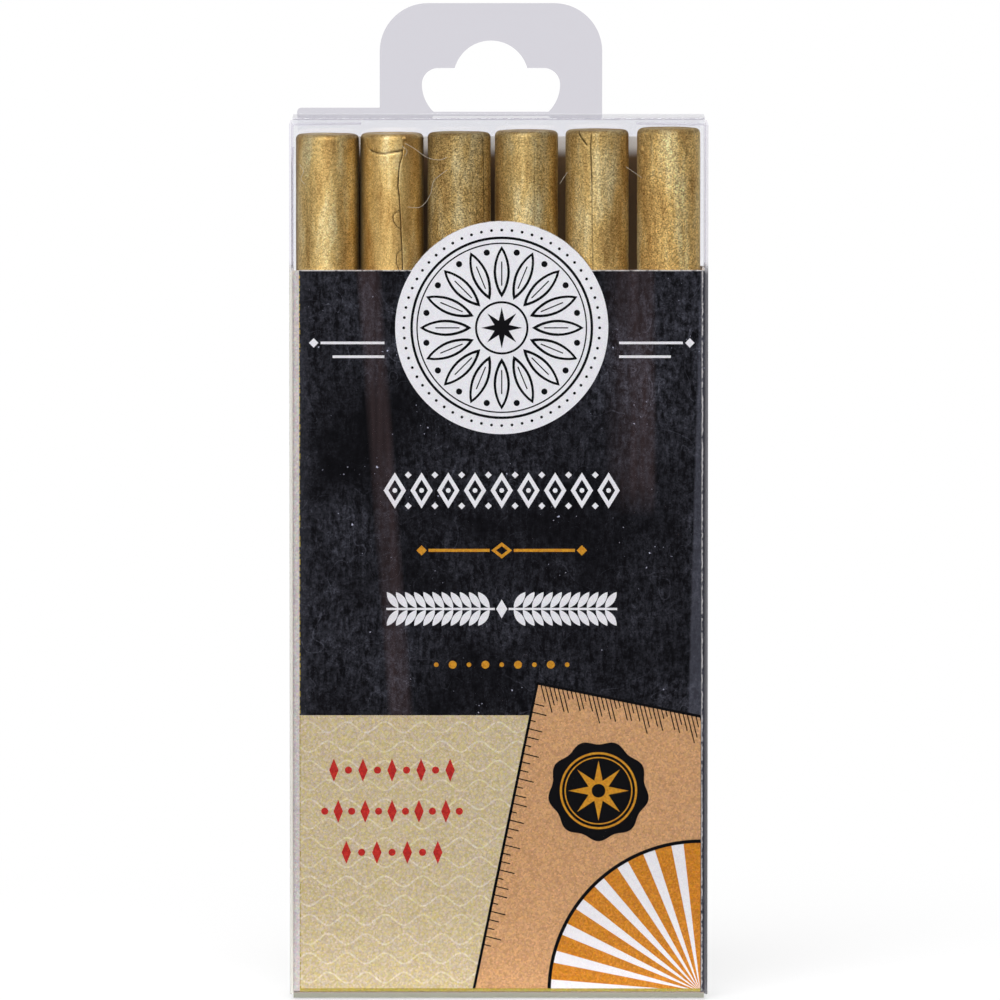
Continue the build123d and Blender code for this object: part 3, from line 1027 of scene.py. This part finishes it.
def print_badge(settings, inks):
    """A white disc that fills the round cut, with a rosette of leaves inside two rings."""
    ink(settings, "print_badge", [circle(BADGE_X, BADGE_Z, BADGE_RADIUS - 0.05, 160)], 1, inks["white"])
    lines = [ring(BADGE_X, BADGE_Z, radius, wide) for radius, wide in ((10.6, 0.3), (9.9, 0.16), (3.1, 0.25))]
    lines += rosette(BADGE_X, BADGE_Z, 3.5, 6.0)
    for i in range(16):
        angle = math.tau * i / 16
        lines.append(stroke([around(BADGE_X, BADGE_Z, radius, angle) for radius in (4.9, 7.7)], 0.14))
        lines.append(circle(*around(BADGE_X, BADGE_Z, 8.9, angle + math.tau / 32), 0.36, 16))
    for i in range(60):
        lines.append(circle(*around(BADGE_X, BADGE_Z, 11.35, math.tau * i / 60), 0.17, 12))
    lines.append(star(BADGE_X, BADGE_Z, 2.4, 0.9, 8))
    ink(settings, "print_badge_rosette", lines, 2, inks["black"])


def print_ornaments(settings, inks):
    """White ornaments and gold rules down the middle."""
    ornaments = []
    for i in range(9):
        ornaments += link(BADGE_X + (i - 4) * CHAIN_STEP, CHAIN_Z)
    for i in range(8):
        x = BADGE_X + (i - 3.5) * CHAIN_STEP
        ornaments += [diamond(x, CHAIN_Z + up, 0.8, 0.8) for up in (1.8, -1.8)]
    for side in (1, -1):
        ornaments.append(stroke([(BADGE_X + side * reach, GARLAND_Z) for reach in (0.8, 13.4)], 0.26))
        for i in range(11):
            x = BADGE_X + side * (1.4 + i * 1.06)
            for up in (1, -1):
                angle = math.pi / 2 - side * (math.pi / 2 - up * 0.95)
                ornaments.append(leaf(x, GARLAND_Z + up * 0.1, angle, 2.3, 0.85))
        for z, reach in ((76.2, 7.4), (74.6, 6.0)):
            start = BADGE_X + side * 13.6
            end = start + side * reach
            ornaments.append(bar(min(start, end), max(start, end), z, z + 0.3))
        ornaments.append(diamond(BADGE_X + side * 21.8, 76.35, 1.1, 1.1))
    ornaments.append(diamond(BADGE_X, GARLAND_Z, 1.3, 2.2))
    ink(settings, "print_white_ornaments", ornaments, 1, inks["white"])
    rules = [(diamond(BADGE_X, RULE_Z, 2.4, 1.9), diamond(BADGE_X, RULE_Z, 1.3, 1.0))]
    for side in (1, -1):
        near, far = sorted(BADGE_X + side * reach for reach in (1.4, 8.5))
        rules.append(bar(near, far, RULE_Z - 0.17, RULE_Z + 0.18))
        rules.append(diamond(BADGE_X + side * 9.3, RULE_Z, 1.2, 1.2))
    for i in range(9):
        rules.append(circle(BADGE_X + (i - 4) * 1.9, DOTS_Z, 0.46 if i % 2 else 0.27, 20))
    ink(settings, "print_gold_rules", rules, 1, inks["gold"])


def print_field(settings, inks):
    """The lower field: cream paper with pale waves."""
    left, right, foot = front_edges()
    ink(settings, "print_cream_field", [bar(left, right, foot, FIELD_TOP)], 1, inks["cream"])
    waves = []
    for i in range(14):
        z = 31.6 - i * 2.25
        steps = [k * 0.2 for k in range(140)]
        line = [(left + s, z + 0.62 * math.sin(s * math.tau / 4.4 + i * math.pi)) for s in steps]
        waves.append(on_front(stroke(line, 0.2), FIELD_TOP))
    ink(settings, "print_pale_waves", waves, 2, inks["pale"])


def print_sheet(settings, inks):
    """A tilted brown sheet at the lower right, hatched along two of its edges."""
    sheet = [(-3.5, -2.0), (4.5, 36.8), (40.0, 29.5), (32.0, -9.3)]
    ink(settings, "print_kraft_sheet", [on_front(sheet)], 3, inks["kraft"])
    lines = [stroke([(-3.2, -0.5), (4.5, 36.8)], 0.32), stroke([(4.4, 36.75), (40.0, 29.5)], 0.32)]
    for i in range(38):
        x, z = 4.9 + i * 0.5, 36.6 - i * 0.5 * 0.2056
        long = 2.0 + 0.9 * math.sin(i * 1.7) + 0.5 * math.sin(i * 0.6)
        lines.append(stroke([(x, z), (x + 0.25 * long, z - long)], 0.13))
    for i in range(30):
        x, z = 3.9 - i * 0.2, 34.4 - i * 0.97
        long = 1.4 + 0.6 * math.sin(i * 2.3)
        lines.append(stroke([(x, z), (x + long, z - 0.25 * long)], 0.13))
    ink(settings, "print_sheet_lines", [on_front(line) for line in lines], 4, inks["black"])


def print_rays(settings, inks):
    """A corner of orange rays on white."""
    right, foot = front_edges()[1:]

    def arc(radius, start, end, steps):
        return [around(right, foot, radius, angle) for angle in np.linspace(start, end, steps)]

    quarter = math.pi / 2
    ground = [(right, foot)] + arc(RAY_LENGTH, quarter, math.pi, 40)
    ink(settings, "print_ray_ground", [ground], 4, inks["white"])
    rays = []
    for i in range(8):
        start, end = (quarter + quarter * (i + share) / 8 for share in (0.0, 0.58))
        rays.append([(right, foot)] + arc(RAY_LENGTH, start, end, 6))
    ink(settings, "print_rays", rays, 5, inks["orange"])
    line = stroke(arc(RAY_LENGTH + 0.1, quarter, math.pi, 40), 0.4)
    ink(settings, "print_ray_line", [on_front(line)], 6, inks["black"])


def print_medallion(settings, inks):
    """A dark medallion with a plain gold star."""
    ink(settings, "print_medallion", [scalloped(MEDAL_X, MEDAL_Z, 5.9, 0.5, 9)], 5, inks["black"])
    medal = [ring(MEDAL_X, MEDAL_Z, 4.5, 0.25), ring(MEDAL_X, MEDAL_Z, 3.95, 0.15)]
    medal.append((star(MEDAL_X, MEDAL_Z, 3.5, 1.25, 8), circle(MEDAL_X, MEDAL_Z, 0.8, 24)))
    ink(settings, "print_medallion_star", medal, 6, inks["gold"])


def print_accents(settings, inks):
    """Rows of red lozenges and dots on the cream."""
    accents = []
    for row, (z, half, count) in enumerate(((26.6, 7.6, 9), (21.8, 8.6, 11), (17.0, 6.2, 7))):
        for i in range(count):
            x = -12.4 + (i - (count - 1) / 2) * 2 * half / count
            accents.append(diamond(x, z, 1.1, 2.7) if i % 2 == row % 2 else circle(x, z, 0.42, 16))
    ink(settings, "print_red_accents", accents, 3, inks["red"])


def print_fringe(settings, inks):
    """Yellow ink that runs a little past the others at the foot and at the left cut."""
    left, right, foot = front_edges()
    chance = random.Random(8)
    fringe = [bar(left, right, foot + 0.02, foot + 0.38)]
    z = foot + 0.4
    while z < FRINGE_TOP:
        long = chance.uniform(0.2, 0.7)
        fringe.append(bar(left, left + chance.uniform(0.05, 0.12), z, z + long))
        z += long + chance.uniform(0.1, 0.35)
    ink(settings, "print_yellow_edge", fringe, 7, inks["olive"])


def print_back(settings, inks):
    """The back, not seen in the photo: a pale panel inside a gold line, with a few of the same ornaments."""
    low, high = (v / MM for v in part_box("card_back"))
    middle_x, middle_z = (low.x + high.x) / 2, 50
    border = (bar(low.x + 2.2, high.x - 2.0, 3.5, 96.5), bar(low.x + 2.5, high.x - 2.3, 3.8, 96.2))
    ink(settings, "print_back_line", [border], 1, inks["gold"], "card_back")
    panel = bar(low.x + 5, high.x - 5, 20, 80)
    ink(settings, "print_back_panel", [panel], 1, inks["cream"], "card_back")
    chain = []
    for i in range(9):
        for z in (88.2, 11.8):
            chain += link(middle_x + (i - 4) * CHAIN_STEP, z)
    ink(settings, "print_back_chain", chain, 1, inks["gold"], "card_back")
    lines = [ring(middle_x, middle_z, 10.6, 0.3), ring(middle_x, middle_z, 9.9, 0.16)]
    lines.append(star(middle_x, middle_z, 3.2, 1.2, 8))
    lines += rosette(middle_x, middle_z, 3.7, 5.8)
    for z in (74, 72.8, 27.2, 26):
        lines.append(bar(low.x + 8, high.x - 8, z - 0.12, z + 0.12))
    ink(settings, "print_back_rosette", lines, 2, inks["black"], "card_back")


LAYERS = (
    print_badge,
    print_ornaments,
    print_field,
    print_sheet,
    print_rays,
    print_medallion,
    print_accents,
    print_fringe,
    print_back,
)


class PACK_OT_print(bpy.types.Operator):
    """Prints a plain generic design on the card"""

    bl_idname = "pack.print"
    bl_label = "Print"

    def execute(self, context):
        settings = context.scene.pack_card
        inks = {}
        for key, (name, *finish) in INKS.items():
            inks[key] = paper_material(name, getattr(settings, key), *finish)
        for layer in LAYERS:
            layer(settings, inks)
        return {"FINISHED"}


# Lamps: the place in metres, the width and height in metres, and the power in watts.
LAMPS = {
    "key_lamp": ((-0.3, -0.95, 0.48), 1.1, 0.5, 9.0),
    "top_lamp": ((-0.05, -0.5, 0.95), 0.5, 0.5, 7.3),
    "fill_lamp": ((0.75, -0.7, 0.3), 0.5, 0.5, 0.4),
}


def pale_floor(scene, settings):
    """A sheet of white paper that takes the pack's shadow and passes into the white surroundings."""
    material, tree = new_material("pale_paper_floor")
    place = add(tree, "TexCoord").outputs["Object"]
    seen = add(tree, "LightPath").outputs["Is Camera Ray"]
    lit = add(tree, "BsdfDiffuse", {"Color": settings.floor})
    white = add(tree, "Emission", {"Strength": 1.0})
    away = add(tree, "VectorMath", {0: place}, operation="LENGTH")
    passing = {"Value": away, "From Min": 0.03, "From Max": 0.16, "To Min": 0.7, "To Max": 1.0}
    plain = add(tree, "MapRange", passing, interpolation_type="SMOOTHSTEP")
    share = add(tree, "Math", {0: seen, 1: plain}, operation="MULTIPLY")
    both = add(tree, "MixShader", {0: share, 1: lit, 2: white})
    add(tree, "OutputMaterial", {"Surface": both})
    mesh = bpy.data.meshes.new("floor")
    corners = [(x, y, -0.2 * MM) for x, y in ((-0.3, -0.015), (0.3, -0.015), (0.3, 0.3), (-0.3, 0.3))]
    mesh.from_pydata(corners, [], [(0, 1, 2, 3)])
    mesh.materials.append(material)
    floor = bpy.data.objects.new("floor", mesh)
    scene.collection.objects.link(floor)


def surroundings(scene):
    """White to the eye. What lights the pack and mirrors in it is bright behind it and dim in front."""
    world = bpy.data.worlds.new("studio")
    scene.world = world
    world.use_nodes = True
    tree = world.node_tree
    tree.nodes.clear()
    way = add(tree, "TexCoord").outputs["Generated"]
    depth = add(tree, "SeparateXYZ", {"Vector": way}).outputs["Y"]
    room = {"Value": depth, "From Min": -0.3, "From Max": 0.5, "To Min": 0.006, "To Max": 1.0}
    strength = add(tree, "MapRange", room)
    studio = add(tree, "Background", {"Color": linear("#fdfdff"), "Strength": strength})
    paper = add(tree, "Background", {"Color": (1, 1, 1, 1), "Strength": 1.0})
    rays = add(tree, "LightPath").outputs
    straight = {0: rays["Is Camera Ray"], 1: rays["Is Transmission Ray"]}
    seen = add(tree, "Math", straight, operation="MAXIMUM")
    mixed = add(tree, "MixShader", {0: seen, 1: studio, 2: paper})
    out = add(tree, "OutputWorld", {"Surface": mixed})
    out.is_active_output = True


class PACK_OT_stage(bpy.types.Operator):
    """Sets the floor, the lamps, the surroundings and the camera"""

    bl_idname = "pack.stage"
    bl_label = "Stage"

    def execute(self, context):
        scene = context.scene
        settings = scene.pack_stage
        scene.view_settings.view_transform = "Standard"
        pale_floor(scene, settings)
        surroundings(scene)

        aim = Vector((settings.aim_x, 0, settings.aim_z))
        for name, (place, wide, high, power) in LAMPS.items():
            lamp = bpy.data.lights.new(name, "AREA")
            lamp.shape = "RECTANGLE"
            lamp.size = wide
            lamp.size_y = high
            lamp.energy = power
            holder = bpy.data.objects.new(name, lamp)
            scene.collection.objects.link(holder)
            holder.location = place
            holder.rotation_euler = (aim - Vector(place)).to_track_quat("-Z", "Y").to_euler()

        camera = bpy.data.cameras.new("photo_camera")
        camera.lens = settings.lens
        camera.sensor_width = 36
        camera.clip_end = 20
        holder = bpy.data.objects.new("photo_camera", camera)
        scene.collection.objects.link(holder)
        e = settings.elevation
        holder.location = aim + settings.distance * Vector((0, -math.cos(e), math.sin(e)))
        holder.rotation_euler = (math.pi / 2 - e, 0, 0)
        scene.camera = holder
        return {"FINISHED"}


STEPS = (
    PACK_OT_wax_sticks,
    PACK_OT_clear_box,
    PACK_OT_card,
    PACK_OT_margin,
    PACK_OT_print,
    PACK_OT_lint,
    PACK_OT_stage,
)
GROUPS = {
    "pack_wax": WaxSettings,
    "pack_sheet": SheetSettings,
    "pack_card": CardSettings,
    "pack_stage": StageSettings,
}


class PACK_PT_sidebar(bpy.types.Panel):
    """Settings and steps of the wax pack"""

    bl_idname = "PACK_PT_sidebar"
    bl_label = "Sealing wax stick pack"
    bl_space_type = "VIEW_3D"
    bl_region_type = "UI"
    bl_category = "Wax pack"

    def draw(self, context):
        for group, kind in GROUPS.items():
            box = self.layout.box()
            for key in kind.__annotations__:
                box.prop(getattr(context.scene, group), key)
        for step in STEPS:
            self.layout.operator(step.bl_idname)


def register():
    for group, kind in GROUPS.items():
        bpy.utils.register_class(kind)
        setattr(bpy.types.Scene, group, bpy.props.PointerProperty(type=kind))
    for kind in STEPS + (PACK_PT_sidebar,):
        bpy.utils.register_class(kind)


def unregister():
    for kind in (PACK_PT_sidebar,) + STEPS[::-1]:
        bpy.utils.unregister_class(kind)
    for group, kind in GROUPS.items():
        delattr(bpy.types.Scene, group)
        bpy.utils.unregister_class(kind)


def main():
    """Builds the dressed pack."""
    register()
    bpy.ops.pack.wax_sticks()
    bpy.ops.pack.clear_box()
    bpy.ops.pack.card()
    bpy.ops.pack.margin()
    bpy.ops.pack.print()
    bpy.ops.pack.lint()
    bpy.ops.pack.stage()


if __name__ == "__main__":
    main()
